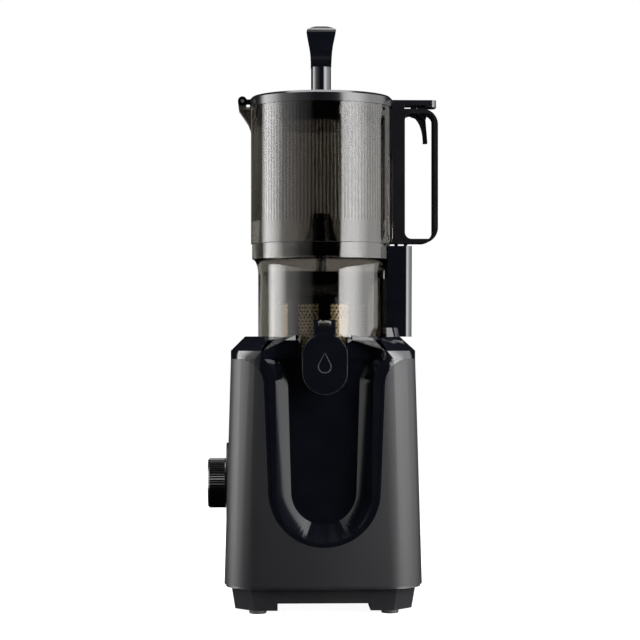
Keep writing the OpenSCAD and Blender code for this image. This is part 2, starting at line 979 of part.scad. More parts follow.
module bowl() {
    color(smoke)
        difference() {
            union() {
                rotate_extrude()
                    polygon(concat([[0, bowl_low], [bowl_r - 2, bowl_low], [bowl_r, bowl_low + 2]],
                                   shoulder(bowl_r, collar_r, shoulder_low, collar_low),
                                   [[collar_r, bowl_top], [0, bowl_top]]));
                translate([-spout_half, -spout_reach + face_t, spout_low])
                    cube([2 * spout_half, spout_reach - face_t - 20, spout_high - spout_low]);
                along_y(-spout_reach, -spout_reach + face_t)
                    cap_plan(face_gap + 2);
                translate([5 - ear_in, 0, 0])
                    along_x(0.4 - 5, 5 - 0.4, -spout_reach + 3.5, cap_hinge_z, 3.2);
                translate([-4.6, -spout_reach + 1.5, spout_high - 4])
                    cube([9.2, 4, cap_hinge_z - spout_high + 4]);
                translate([-outlet_half, 20, spout_low - 2])
                    cube([2 * outlet_half, outlet_reach - 20, spout_high - spout_low - 2]);
            }
            difference() {
                rotate_extrude()
                    polygon(concat([[0, bowl_low + bowl_floor], [bowl_in, bowl_low + bowl_floor]],
                                   shoulder(bowl_in, collar_r - bowl_wall, shoulder_low, collar_low),
                                   [[collar_r - bowl_wall, bowl_top + 1], [0, bowl_top + 1]]));
                cylinder(r = hub_r, h = hub_top);
            }
            translate([0, 0, bowl_low - 1])
                cylinder(r = output_r + 1.5, h = 30);
            translate([-spout_half + 2.4, -spout_reach - 1, spout_low + 2.4])
                cube([2 * spout_half - 4.8, spout_reach - 40, spout_high - spout_low - 4.8]);
            translate([-outlet_half + 2.4, 40, spout_low + 0.4])
                cube([2 * outlet_half - 4.8, outlet_reach, spout_high - spout_low - 6.8]);
            along_x(-pin_reach, pin_reach, -spout_reach + 3.5, cap_hinge_z, cap_pin_r);
        }
}

module bowl_seal() {
    color([0.60, 0.12, 0.10])
        translate([0, 0, bowl_low - seat + 0.02])
            difference() {
                cylinder(r = output_r + 1.5, h = bowl_floor + 1);
                translate([0, 0, -1])
                    cylinder(r = output_r + 0.25, h = bowl_floor + 3);
            }
}

module cap_pin() {
    color(steel)
        along_x(-pin_reach, pin_reach, -spout_reach + 3.5, cap_hinge_z, cap_pin_r);
}

drop_r = 5.9;

module drop_outline(grow) {
    hull() {
        translate([0, 213])
            circle(r = drop_r + grow, $fn = 40);
        translate([0, 224.5 + grow])
            circle(r = 0.4, $fn = 12);
    }
}

module juice_cap() {
    strap = 9.4;
    back = -spout_reach - seat;
    color(gloss)
        difference() {
            union() {
                along_y(-cap_front, back)
                    cap_plan(0);
                translate([-strap, -cap_front + 2.5, cap_high - 14])
                    cube([2 * strap, 3, cap_hinge_z - cap_high + 12]);
                for (s = [-1, 1])
                    translate([s * (strap + ear_in) / 2, 0, 0]) {
                        along_x((ear_in - strap) / 2, (strap - ear_in) / 2, -spout_reach + 3.5, cap_hinge_z, 3.4);
                        translate([(ear_in - strap) / 2, -cap_front + 2.5, cap_hinge_z - 3.4])
                            cube([strap - ear_in, cap_front - spout_reach + 1, 6.8]);
                    }
            }
            along_y(back - cap_depth + 2, back + 1)
                cap_plan(1.8);
            along_y(-cap_front - 1, -cap_front + 0.5)
                difference() {
                    drop_outline(0);
                    drop_outline(-1);
                }
            along_x(-pin_reach - 1, pin_reach + 1, -spout_reach + 3.5, cap_hinge_z, cap_pin_r + run);
        }
}

module cap_gasket() {
    color([0.50, 0.50, 0.50])
        translate([0, -spout_reach - seat - cap_depth + 2 + 2.2, 0])
            rotate([90, 0, 0])
                linear_extrude(2.2)
                    difference() {
                        cap_plan(2);
                        cap_plan(6);
                    }
}

module pulp_flap() {
    color([0.50, 0.50, 0.50])
        translate([-outlet_half, outlet_reach, spout_low - 2])
            cube([2 * outlet_half, 2, spout_high - spout_low - 2]);
}

// ---- strainer and auger ---------------------------------------------------
strainer_low = bowl_low + bowl_floor + seat;
strainer_in = strainer_r - strainer_wall;
flange_z = shoulder_low + 2;
window_low = 216;
window_sweep = 26;

module strainer_frame() {
    color(gloss)
        difference() {
            rotate_extrude()
                polygon([[strainer_in - 1.6, strainer_low], [strainer_r + 1, strainer_low],
                         [strainer_r + 1, window_low - 3], [strainer_r, window_low - 2],
                         [strainer_r, window_top + 6], [strainer_r + 2, window_top + 8],
                         [strainer_r + 4, window_top + 17], [bowl_in - seat - 1.5, flange_z - 5],
                         [bowl_in - seat, flange_z - 4], [bowl_in - seat, flange_z],
                         [bowl_in - 4, flange_z], [strainer_r + 1, window_top + 18],
                         [strainer_in, window_top + 6], [strainer_in, window_low - 2],
                         [strainer_in - 1.6, window_low - 4]]);
            for (i = [0:windows - 1])
                rotate(i * 360 / windows - 90 + 22)
                    translate([strainer_in, 0, (window_low + window_top) / 2])
                        cube([12, 2 * strainer_r * sin(window_sweep / 2), window_top - window_low],
                             center = true);
        }
}

hole_rows = 3;
hole_pitch = 4.6;

module strainer_screens() {
    r = strainer_in - 0.02;
    rib = 1.4;
    color(gold)
        difference() {
            translate([0, 0, window_low - 2])
                cylinder(r = r, h = window_top - window_low + 4);
            translate([0, 0, window_low - 3])
                cylinder(r = r - screen_t, h = far);
            for (i = [0:windows - 1], row = [0:hole_rows - 1], k = [-1.5:1.5])
                rotate(i * 360 / windows - 90 + 22 + (k + (row % 2) / 2 - 0.25) * hole_pitch * 57.3 / r)
                    translate([r - 2, 0, window_top - rib - 2 - row * hole_pitch * 0.8])
                        rotate([0, 90, 0])
                            cylinder(r = 0.9, h = 4, $fn = 6);
        }
}

auger_low = hub_top + seat;
auger_top = window_top + 14;
flight_low = auger_low + 2;

module flights() {
    translate([0, 0, flight_low])
        linear_extrude(window_top + 6 - flight_low, twist = -360 * auger_turns, slices = 40, $fn = 16)
            for (a = [0, 180])
                rotate(a)
                    polygon(concat(arc(0, 0, auger_r, -7, 7, 3), arc(0, 0, 11, 16, -16, 2)));
}

module auger() {
    core_r = 23;
    color(dark)
        difference() {
            union() {
                rotate_extrude()
                    polygon([[0, auger_low], [auger_r - 5, auger_low], [auger_r - 4, auger_low + 4],
                             [core_r + 5, auger_low + 16], [core_r - 2, auger_low + 34],
                             [13, window_top - 4], [11, window_top + 4], [11, auger_top - 4],
                             [9, auger_top], [0, auger_top]]);
                flights();
            }
            translate([0, 0, auger_low - 1])
                cylinder(r = hex_af / 2 / cos(30) + 0.25, h = well_floor + 4 + 23 - auger_low + 1, $fn = 6);
            translate([0, 0, auger_low - 1])
                cylinder(r = output_r + 0.6, h = 4);
            translate([0, 0, auger_top - 9])
                cylinder(r = 5, h = 10);
        }
}

// ---- hopper ---------------------------------------------------------------
hopper_low = bowl_top + seat;
hopper_in = hopper_r - hopper_wall;
spigot_r = collar_r - bowl_wall - 0.4;
spigot_low = collar_low + 1;
rib_low = 341;
blade_hole_r = 7;
bracket_half = 10;
knuckle_half = 5.6;
lid_low = hopper_top + seat - 0.2;
hinge_z = lid_low + 5.4;

module hopper_floor() {
    translate([0, 0, spigot_low])
        linear_extrude(3)
            difference() {
                circle(r = spigot_r - 1);
                difference() {
                    circle(r = 46);
                    circle(r = 17);
                    for (a = [90, 210, 330])
                        rotate(a)
                            translate([10, -5])
                                square([40, 10]);
                }
            }
}

module hinge_bracket() {
    for (s = [-1, 1])
        translate([0, s * (knuckle_half + run + (bracket_half - knuckle_half) / 2), 0])
            along_y((knuckle_half - bracket_half) / 2, (bracket_half - knuckle_half) / 2)
                difference() {
                    union() {
                        translate([-lid_hinge_x, hinge_z])
                            circle(r = barrel_r);
                        polygon([[-lid_hinge_x - barrel_r, hinge_z], [-lid_hinge_x - barrel_r + 1, hinge_z - 8],
                                 [-hopper_r - 2.5, hinge_z - 20], [-hopper_r + 1, hinge_z - 29],
                                 [-hopper_r + 1, hopper_top], [-lid_hinge_x + 3, hopper_top],
                                 [-lid_hinge_x + barrel_r, hinge_z]]);
                    }
                }
}

mark_z = hopper_top - 12;
mark_h = 7;
mark_rise = 0.35;

// Raised fill mark: a small bare frame and a line that runs on from it.
module fill_mark() {
    intersection() {
        translate([0, 0, hopper_low + 1])
            cylinder(r = hopper_r + mark_rise, h = hopper_top - hopper_low - 2);
        along_y(-far / 2, -hopper_r / 2) {
            difference() {
                translate([-9, mark_z])
                    square([23, mark_h]);
                translate([-8.4, mark_z + 0.6])
                    square([21.8, mark_h - 1.2]);
            }
            translate([13.9, mark_z])
                square([hopper_r - 14, 0.8]);
        }
    }
}

module hopper() {
    color(smoke)
        difference() {
            union() {
                difference() {
                    union() {
                        translate([0, 0, hopper_low])
                            cylinder(r = hopper_r, h = hopper_top - hopper_low);
                        translate([0, 0, spigot_low])
                            cylinder(r = spigot_r, h = hopper_low - spigot_low + 1);
                        hinge_bracket();
                        fill_mark();
                        handle_pad(0);
                    }
                    translate([0, 0, spigot_low - 1])
                        cylinder(r = spigot_r - 2.4, h = far);
                    translate([0, 0, rib_low])
                        linear_extrude(far)
                            polygon(grooved(hopper_in - 0.05, rib_depth, hopper_ribs));
                    translate([0, 0, hopper_top - skirt_h - 3])
                        cylinder(r = hopper_in, h = far);
                }
                hopper_floor();
            }
            translate([0, 0, spigot_low - 1])
                cylinder(r = blade_hole_r + run, h = 6);
            along_y(-bracket_half - 1, bracket_half + 1)
                translate([-lid_hinge_x, hinge_z])
                    circle(r = lid_pin_r);
        }
}

lid_pin_r = 1.6;

module lid_pin() {
    color(steel)
        along_y(-bracket_half, bracket_half)
            translate([-lid_hinge_x, hinge_z])
                circle(r = lid_pin_r);
}

module hopper_seal() {
    color([0.20, 0.20, 0.20])
        translate([0, 0, bowl_top])
            difference() {
                cylinder(r = collar_r - 0.6, h = seat);
                translate([0, 0, -1])
                    cylinder(r = spigot_r, h = 3);
            }
}

module rotary_blade() {
    z0 = spigot_low + 3 + seat;
    color(gloss)
        difference() {
            union() {
                rotate_extrude()
                    polygon([[0, auger_top - 7], [4.6, auger_top - 7], [4.6, spigot_low - 1],
                             [blade_hole_r, spigot_low - 1], [blade_hole_r, z0], [26, z0], [26, z0 + 3],
                             [17, z0 + 8], [12, z0 + 20], [9.5, z0 + 34], [6, z0 + 37], [0, z0 + 37]]);
                for (a = [0, 180])
                    rotate(a)
                        translate([0, 0, z0])
                            linear_extrude(6)
                                polygon(concat([[10, 0]], arc(8, -32, 62 - 8, 36, 75, 8), [[14, 12]]));
            }
        }
}

// ---- handle and trigger ---------------------------------------------------
handle_low = hopper_low + 0.4;
handle_in = hopper_r + 11.7;      // inner side of the finger opening
bar_t = 4.4;                      // thickness of the handle's top bar
handle_top = hopper_top - 1.4;
bar_low = handle_top - bar_t;
root_end = handle_in - 0.4;       // end of the rest block under the lid's tab
pad_t = 2.4;                      // rise of the hopper's pad behind the handle
pad_half = 19;
rail_half = 6;                    // half width of the rail that holds the handle
rail_out = hopper_r + 6;
outer_round = 14;
inner_round = 6;
finger_w = handle_out - strap_t - handle_in;      // width of the finger opening
trigger_x = handle_in + 0.3 * finger_w;
trigger_z = handle_top - bar_t / 2;
trigger_half = 4.5;
trigger_pin_r = 1;
trigger_pin_half = 10;
lever_end = trigger_x + 0.506 * finger_w;         // rear of the lever's tip
lever_front = trigger_x + 0.368 * finger_w;
lever_low = bar_low - 25.7;
slot_gap = 0.4;
hook_x = trigger_x + 0.153 * finger_w;            // left face of the lid's latch hook
hook_t = 0.26 * finger_w;
slot_in = trigger_x - bar_t / 2 - 0.8;            // slot through the bar, left and right ends
slot_out = hook_x + hook_t + 0.04 * finger_w;
hook_low = bar_low + 1.8;
hook_half = 4;
catch_z = handle_top + 0.6;       // underside of the trigger's catch, above the hook's barb

module round_box(x0, x1, z0, z1, r) {
    hull() {
        for (x = [x0 + r, x1 - r], z = [z0 + r, z1 - r])
            translate([x, z])
                circle(r = r, $fn = 48);
    }
}

module handle_side() {
    difference() {
        union() {
            round_box(hopper_r - 12, handle_out, handle_low, handle_top, outer_round);
            translate([hopper_r - 12, handle_low])
                square([30, handle_top - handle_low]);
            translate([hopper_r - 12, handle_low + 1])
                square([root_end - hopper_r + 12, tab_low - seat - handle_low - 1]);
        }
        round_box(handle_in, handle_out - strap_t, handle_low + 4, bar_low, inner_round);
    }
}

// Cheeks under the bar, one each side of the trigger.
module trigger_cheeks() {
    x = trigger_x;
    for (s = [-1, 1])
        translate([0, s * (trigger_half + slot_gap + 1), 0])
            along_y(-1, 1)
                polygon(concat(bezier([x - 2, bar_low + 1], [x + 0.134 * finger_w, bar_low - 0.5],
                                      [x + 0.249 * finger_w, bar_low - 2],
                                      [x + 0.287 * finger_w, bar_low - 4.5], 6),
                               [[lever_end - 1.5, bar_low - 4.5], [lever_end - 1, bar_low + 1]]));
}

// Flat pad on the hopper's side, with the rail that the handle slides onto.
module handle_pad(grow) {
    intersection() {
        translate([0, 0, handle_low + 1])
            cylinder(r = hopper_r + pad_t + grow, h = hopper_top - handle_low - 2);
        translate([0, -pad_half - grow, 0])
            cube([far, 2 * (pad_half + grow), far]);
    }
    translate([hopper_r - 1, -rail_half - grow, handle_low + 3])
        cube([rail_out - hopper_r + 1 + grow, 2 * (rail_half + grow), handle_top - handle_low - 8]);
}

module hopper_handle() {
    keys = bowl_top - tower_top + handle_low - bowl_top + 5;
    color(gloss)
        difference() {
            union() {
                along_y(-handle_depth / 2, handle_depth / 2)
                    handle_side();
                trigger_cheeks();
                for (x = key_x)
                    translate([x + 0.3, -key_half, handle_low - keys])
                        cube([3, 2 * key_half, keys + 1]);
            }
            translate([0, 0, handle_low - 1])
                cylinder(r = hopper_r, h = far);
            translate([0, 0, hopper_top - 1])
                cylinder(r = lid_r + 0.6, h = far);
            handle_pad(0.04);
            translate([slot_in, -trigger_half - slot_gap, bar_low - 1])
                cube([slot_out - slot_in, 2 * (trigger_half + slot_gap), bar_t + 3]);
            along_y(-trigger_pin_half, trigger_pin_half)
                translate([trigger_x, trigger_z])
                    circle(r = trigger_pin_r);
        }
}

module trigger() {
    x = trigger_x;
    top = bar_low - 0.5;
    color(gloss)
        difference() {
            union() {
                along_y(-trigger_half, trigger_half)
                    translate([x, trigger_z])
                        circle(r = bar_t / 2 - 0.2);
                along_y(-trigger_half, trigger_half)
                    polygon([[x - 1.5, trigger_z], [x - 1.5, catch_z + 1.8], [hook_x - seat, catch_z + 1.8],
                             [hook_x - seat, catch_z], [x + 1.8, catch_z], [x + 1.8, trigger_z]]);
                along_y(-trigger_half, trigger_half)
                    polygon([[x - 1.5, trigger_z], [x + 1.8, trigger_z], [x + 1.8, top - 2], [x - 1.5, top - 1]]);
                along_y(-trigger_half, trigger_half)
                    polygon(concat(bezier([x - 2, top], [x + 0.21 * finger_w, top - 1.6], [lever_front, top - 12],
                                          [lever_front, lever_low], 12),
                                   [[lever_end, lever_low], [lever_end - 2, top - 1.4]]));
            }
            along_y(-trigger_half - 1, trigger_half + 1)
                translate([x, trigger_z])
                    circle(r = trigger_pin_r + run);
        }
}

module trigger_pin() {
    color(steel)
        along_y(-trigger_pin_half, trigger_pin_half)
            translate([trigger_x, trigger_z])
                circle(r = trigger_pin_r);
}

module trigger_spring() {
    x = slot_in + 0.05;
    color(steel)
        along_y(-2.5, 2.5)
            polygon([[x, handle_top], [x + 0.45, handle_top], [x + 0.8, handle_top - 3.4],
                     [x + 0.35, handle_top - 3.4]]);
}

// ---- lid ------------------------------------------------------------------
lid_top = lid_low + lid_h;
skirt_r = hopper_in - 1;
skirt_foot_r = hopper_in - 2.6;
tab_end = handle_out - 0.9;
tab_low = lid_low + 2;
tab_top = tab_low + 4.7;
tab_lip = hook_x + hook_t + 0.3;  // start of the lip under the tab's end
tab_round = 5;
tab_half = 10;

module lid() {
    color(dark)
        difference() {
            union() {
                rotate_extrude()
                    polygon([[0, lid_low], [skirt_foot_r - 2, lid_low - skirt_h], [skirt_foot_r, lid_low - skirt_h],
                             [skirt_r, lid_low], [lid_r, lid_low], [lid_r, lid_top - 2], [lid_r - 2, lid_top],
                             [lid_r - 16, lid_top + 0.8], [0, lid_top + 0.8]]);
                intersection() {
                    along_y(-tab_half, tab_half)
                        polygon([[lid_r - 4, tab_low], [tab_lip, tab_low], [tab_lip, tab_low - 1.6],
                                 [tab_end, tab_low - 1.6], [tab_end, tab_top - 0.6], [tab_end - 0.6, tab_top],
                                 [lid_r - 4, tab_top]]);
                    translate([0, 0, tab_low - 2])
                        linear_extrude(tab_top - tab_low + 3)
                            hull() {
                                translate([tab_end - tab_round, tab_half - tab_round])
                                    circle(r = tab_round, $fn = 32);
                                translate([tab_end - tab_round, tab_round - tab_half])
                                    circle(r = tab_round, $fn = 32);
                                translate([lid_r - 5, -tab_half])
                                    square([5, 2 * tab_half]);
                            }
                }
                along_y(-hook_half, hook_half)
                    polygon([[hook_x + 0.6, tab_low + 1], [hook_x + 0.6, catch_z - seat],
                             [hook_x, catch_z - seat - 0.6], [hook_x, hook_low], [hook_x + hook_t - 1, hook_low],
                             [hook_x + hook_t, hook_low + 1], [hook_x + hook_t, tab_low + 1]]);
                along_y(-knuckle_half, knuckle_half)
                    translate([-lid_hinge_x, hinge_z])
                        circle(r = barrel_r);
                translate([-lid_hinge_x + 1, -knuckle_half, hinge_z - 1.8])
                    cube([12, 2 * knuckle_half, 3.6]);
            }
            rotate_extrude()
                polygon([[0, lid_low - skirt_h - 1], [skirt_foot_r - 2.2, lid_low - skirt_h - 1],
                         [skirt_r - 3, lid_low + 2], [stem_r + 8, lid_low + 2], [stem_r + 4, lid_low - 5],
                         [0, lid_low - 5]]);
            translate([0, 0, lid_low - 20])
                cylinder(r = stem_r + run, h = far);
            along_y(-knuckle_half - 1, knuckle_half + 1)
                translate([-lid_hinge_x, hinge_z])
                    circle(r = lid_pin_r + run);
        }
}

module lid_gasket() {
    color([0.25, 0.25, 0.25])
        translate([0, 0, hopper_top])
            difference() {
                cylinder(r = hopper_r - 0.4, h = lid_low - hopper_top);
                translate([0, 0, -1])
                    cylinder(r = hopper_in + 0.3, h = 4);
            }
}

// Side outline of the feed handle: a tap-like bend forward, its top curling back.
grip_h = grip_top - lid_top;      // height of the handle above the lid
grip_front = -17.3;
grip_bow = 23;                    // radius of the bow along the top edge

// A point of the grip's side outline: y, and the height as a share of grip_h.
function grip_at(y, share) = [y, lid_top + share * grip_h];

stem_top = grip_at(0, 0.44)[1];

module grip_side() {
    polygon(concat([[stem_r, lid_low - 12]],
                   bezier(grip_at(stem_r, 0.42), grip_at(8, 0.66), grip_at(6, 1), grip_at(-5, 1), 12),
                   bezier(grip_at(-5, 1), grip_at(-12.5, 1), grip_at(grip_front, 0.95),
                          grip_at(grip_front, 0.84), 10),
                   bezier(grip_at(grip_front, 0.66), grip_at(grip_front, 0.55), grip_at(-stem_r, 0.53),
                          grip_at(-stem_r, 0.42), 10),
                   [[-stem_r, lid_low - 12]]));
}

module feed_handle() {
    low = lid_low - 12;
    bow = asin(grip_half / grip_bow);
    color(gloss)
        intersection() {
            rotate([90, 0, 90])
                translate([0, 0, -grip_half])
                    linear_extrude(2 * grip_half)
                        grip_side();
            union() {
                translate([0, 0, low])
                    cylinder(r = stem_r, h = stem_top - low + 3);
                along_y(-40, 40)
                    polygon(concat(bezier(grip_at(stem_r, 0.43), grip_at(stem_r, 0.7), grip_at(stem_r + 1.5, 0.7),
                                          grip_at(grip_half, 0.93), 8),
                                   arc(0, grip_top - grip_bow, grip_bow, 90 - bow, 90 + bow, 10),
                                   bezier(grip_at(-grip_half, 0.93), grip_at(-stem_r - 1.5, 0.7),
                                          grip_at(-stem_r, 0.7), grip_at(-stem_r, 0.43), 8)));
            }
        }
}

plate_z = lid_low - 12;

module feed_plate() {
    color(dark)
        translate([0, 0, plate_z - 4])
            difference() {
                union() {
                    cylinder(r = skirt_foot_r - 4, h = 2.4);
                    cylinder(r = stem_r + 2, h = 4);
                }
            }
}

base_pan();
rubber_feet();
outer_shell();
front_panel();
top_deck();
safety_tower();
safety_switch();
dial_plate();
dial();
rotary_switch();
control_board();
cord_gland();
pan_screws();
motor_case();
stator();
motor_rotor();
motor_fan();
motor_screws();
gearbox_case();
gearbox_lid();
gearbox_screws();
layshaft_gears();
output_gear();
shaft_bearings();
shaft_seal();
bowl();
bowl_seal();
juice_cap();
cap_gasket();
cap_pin();
pulp_flap();
strainer_frame();
strainer_screens();
auger();
rotary_blade();
hopper();
hopper_seal();
hopper_handle();
trigger();
trigger_pin();
trigger_spring();
lid();
lid_gasket();
lid_pin();
feed_handle();
feed_plate();
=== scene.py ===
"""Looks for a tall slow juicer: materials, smooth mouldings, studio light and camera."""

import bpy
import json
from math import cos, pi, radians, sin, tan
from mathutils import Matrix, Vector

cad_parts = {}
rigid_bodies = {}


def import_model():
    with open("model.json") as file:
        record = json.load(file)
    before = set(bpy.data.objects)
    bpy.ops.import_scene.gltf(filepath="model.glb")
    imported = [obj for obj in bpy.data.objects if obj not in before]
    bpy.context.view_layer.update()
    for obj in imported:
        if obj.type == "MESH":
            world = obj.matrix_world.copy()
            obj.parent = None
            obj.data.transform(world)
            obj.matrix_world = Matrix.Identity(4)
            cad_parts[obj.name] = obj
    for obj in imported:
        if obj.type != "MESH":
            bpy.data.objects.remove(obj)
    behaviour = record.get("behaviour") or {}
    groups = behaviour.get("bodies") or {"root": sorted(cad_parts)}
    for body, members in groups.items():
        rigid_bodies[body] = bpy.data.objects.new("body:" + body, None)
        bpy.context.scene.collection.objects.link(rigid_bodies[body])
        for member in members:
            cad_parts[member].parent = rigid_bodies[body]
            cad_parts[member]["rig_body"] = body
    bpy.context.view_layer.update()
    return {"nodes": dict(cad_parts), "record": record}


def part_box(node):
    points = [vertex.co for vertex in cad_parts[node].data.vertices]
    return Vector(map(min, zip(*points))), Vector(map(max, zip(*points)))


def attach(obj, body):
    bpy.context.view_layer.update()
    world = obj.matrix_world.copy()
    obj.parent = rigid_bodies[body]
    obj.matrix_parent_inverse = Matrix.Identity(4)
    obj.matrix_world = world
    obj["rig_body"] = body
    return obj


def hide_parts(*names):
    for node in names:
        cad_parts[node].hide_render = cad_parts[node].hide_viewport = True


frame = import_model()

# Camera: long lens, level, a little left of the front.
FRAME_PX = 640
CAMERA_DISTANCE = 1.75
CAMERA_AZIMUTH = radians(-2.0)
CAMERA_HEIGHT = 0.244
CAMERA_LENS = 109.3
AXIS_PX = 321.0
HORIZON_PX = 330.0

# Ribs round the inside of the hopper, and the heights between which they run.
RIB_COUNT = 120
RIB_LOW = 0.341
RIB_HIGH = 0.4405

# Fine perforation of the strainer's screens: radius of the screen, spacing and width of the holes.
SCREEN_RADIUS = 0.0405
HOLE_PITCH = 0.0034
HOLE_WIDTH = 0.0016
HOLE_BLUR = 0.05

# Chamfer between the deck's top and the recess, and how far below the top and behind the front
# its edges may lie. The spout's slot and short edges are left out.
DECK_CHAMFER = 0.004
CHAMFER_REACH_DOWN = 0.008
CHAMFER_REACH_BACK = 0.02
SLOT_HALF = 0.01
SHORTEST_CHAMFERED = 0.008
LEVEL_WITHIN = 0.001
ALONG_X_WITHIN = 0.0001

# The juice cap's painted highlight lines: depths behind the front between which the groove's floor
# lies, half the width of the drop, a height just above the cap's round foot, how squarely a face looks
# forwards or backwards on the groove's floor, and the same for the rim's rounded edge.
GROOVE_SHALLOW = 0.0002
GROOVE_DEEP = 0.0008
DROP_HALF = 0.008
CAP_FOOT_TOP = 0.2
SQUARE_ON = 0.9
EDGE_TURNED_MOST = 0.2
EDGE_TURNED_LEAST = 0.97

# Softboxes: bearing from the camera's axis in degrees, and brightness there.
RIGHT_SOFTBOX = [
    (29, 0.0), (33, 9.5), (45, 12.0), (58, 11.0), (80, 4.2), (100, 3.0), (112, 2.2), (126, 0.0)
]
LEFT_SOFTBOX = [(15, 0.0), (37, 0.5), (66, 1.9), (84, 8.5), (100, 10.0), (108, 4.5), (114, 0.0)]
SOFTBOX_DISTANCE = 1.1
SOFTBOX_HEIGHT = 2.2
SOFTBOX_DROP = 0.1

# Brightness of the studio's world, as the camera sees it and as the object sees it.
WORLD_SEEN = 1.0
WORLD_LIGHT = 0.007

# Mouldings shown with the soft shading of a polished tool: the sharpest angle, in degrees, that
# stays smooth, and the radius that the tool leaves on the edges, in metres.
MOULDINGS = {
    "base_pan": (30, 0.0008),
    "outer_shell": (30, 0.0),
    "front_panel": (12, 0.0),
    "top_deck": (24, 0.0008),
    "safety_tower": (30, 0.0010),
    "dial_plate": (30, 0.0004),
    "dial": (24, 0.0003),
    "bowl": (30, 0.0),
    "juice_cap": (30, 0.0009),
    "hopper": (40, 0.0),
    "hopper_handle": (30, 0.0008),
    "trigger": (30, 0.0004),
    "lid": (30, 0.0006),
    "feed_handle": (30, 0.0008),
    "auger": (30, 0.0),
}

# Points this close are merged, and faces this near to flat are joined before edges are rounded.
MERGE_DISTANCE = 0.000002
FLAT_WITHIN = radians(0.5)


# ---- materials --------------------------------------------------------------
def new_material(name, colour, roughness, **sockets):
    """A Principled material; each keyword names a socket, with _ for a space."""
    material = bpy.data.materials.new(name)
    material.use_nodes = True
    inputs = shader_inputs(material)
    inputs["Base Color"].default_value = (*colour, 1.0)
    inputs["Roughness"].default_value = roughness
    for key, value in sockets.items():
        inputs[key.replace("_", " ")].default_value = value
    return material


def add_node(material, kind, **values):
    node = material.node_tree.nodes.new(kind)
    for key, value in values.items():
        setattr(node, key, value)
    return node


def link(material, source, target):
    material.node_tree.links.new(source, target)


def shader_inputs(material):
    return material.node_tree.nodes["Principled BSDF"].inputs


def object_position(material):
    """X, Y and Z on the piece's own coordinates."""
    coordinates = add_node(material, "ShaderNodeTexCoord")
    parts = add_node(material, "ShaderNodeSeparateXYZ")
    link(material, coordinates.outputs["Object"], parts.inputs["Vector"])
    return parts.outputs["X"], parts.outputs["Y"], parts.outputs["Z"]


def object_noise(material, scale, detail=3.0, stretch=(1.0, 1.0, 1.0)):
    """Noise on the piece's own coordinates; scale is in features per metre."""
    coordinates = add_node(material, "ShaderNodeTexCoord")
    mapping = add_node(material, "ShaderNodeMapping")
    mapping.inputs["Scale"].default_value = stretch
    noise = add_node(material, "ShaderNodeTexNoise")
    noise.inputs["Scale"].default_value = scale
    noise.inputs["Detail"].default_value = detail
    link(material, coordinates.outputs["Object"], mapping.inputs["Vector"])
    link(material, mapping.outputs["Vector"], noise.inputs["Vector"])
    return noise


def ramp(material, source, low, high, start=0.0, end=1.0):
    node = add_node(material, "ShaderNodeValToRGB")
    node.color_ramp.elements[0].position = start
    node.color_ramp.elements[0].color = (*low, 1.0)
    node.color_ramp.elements[1].position = end
    node.color_ramp.elements[1].color = (*high, 1.0)
    link(material, source, node.inputs["Fac"])
    return node


def add_bump(material, source, strength, distance):
    """Adds a bump on top of any bump that the material has already."""
    bump = add_node(material, "ShaderNodeBump")
    bump.inputs["Strength"].default_value = strength
    bump.inputs["Distance"].default_value = distance
    normal = shader_inputs(material)["Normal"]
    if normal.is_linked:
        link(material, normal.links[0].from_socket, bump.inputs["Normal"])
    link(material, source, bump.inputs["Height"])
    link(material, bump.outputs["Normal"], normal)


def calc(material, operation, *operands):
    """A Math node; each operand is a number or a socket."""
    node = add_node(material, "ShaderNodeMath", operation=operation)
    for socket, value in zip(node.inputs, operands):
        if isinstance(value, (int, float)):
            socket.default_value = value
        else:
            link(material, value, socket)
    return node.outputs["Value"]


def vary_roughness(material, source, low, high):
    spread = add_node(material, "ShaderNodeMapRange")
    spread.inputs["To Min"].default_value = low
    spread.inputs["To Max"].default_value = high
    link(material, source, spread.inputs["Value"])
    link(material, spread.outputs["Result"], shader_inputs(material)["Roughness"])


def vary_colour(material, source, low, high, start=0.3, end=0.7):
    shades = ramp(material, source, low, high, start, end)
    link(material, shades.outputs["Color"], shader_inputs(material)["Base Color"])


def piano_black():
    """Polished black plastic with the faint waviness of a moulded surface."""
    material = new_material("piano_black", (0.006, 0.007, 0.010), 0.07, IOR=1.5)
    wave = object_noise(material, 14.0, 1.0)
    add_bump(material, wave.outputs["Fac"], 0.05, 0.002)
    haze = object_noise(material, 60.0)
    vary_roughness(material, haze.outputs["Fac"], 0.05, 0.11)
    vary_colour(material, haze.outputs["Fac"], (0.002, 0.0025, 0.004), (0.003, 0.0035, 0.0055))
    return material


def charcoal_matt():
    """Spark-eroded matt plastic of the body."""
    material = new_material(
        "charcoal_matt", (0.006, 0.006, 0.007), 0.50, IOR=1.5, Specular_IOR_Level=0.45
    )
    grain = object_noise(material, 2600.0, 2.0)
    add_bump(material, grain.outputs["Fac"], 0.12, 0.0002)
    cloud = object_noise(material, 30.0)
    vary_roughness(material, cloud.outputs["Fac"], 0.47, 0.53)
    vary_colour(material, cloud.outputs["Fac"], (0.0018, 0.0019, 0.0032), (0.0026, 0.0027, 0.0042))
    return material


def satin_black():
    """Smooth satin black of the lid and the handle."""
    material = new_material("satin_black", (0.005, 0.005, 0.006), 0.18, IOR=1.5)
    grain = object_noise(material, 900.0, 2.0)
    add_bump(material, grain.outputs["Fac"], 0.015, 0.0002)
    vary_roughness(material, grain.outputs["Fac"], 0.15, 0.20)
    cloud = object_noise(material, 40.0)
    vary_colour(material, cloud.outputs["Fac"], (0.0035, 0.0035, 0.0045), (0.0060, 0.0060, 0.0075))
    return material


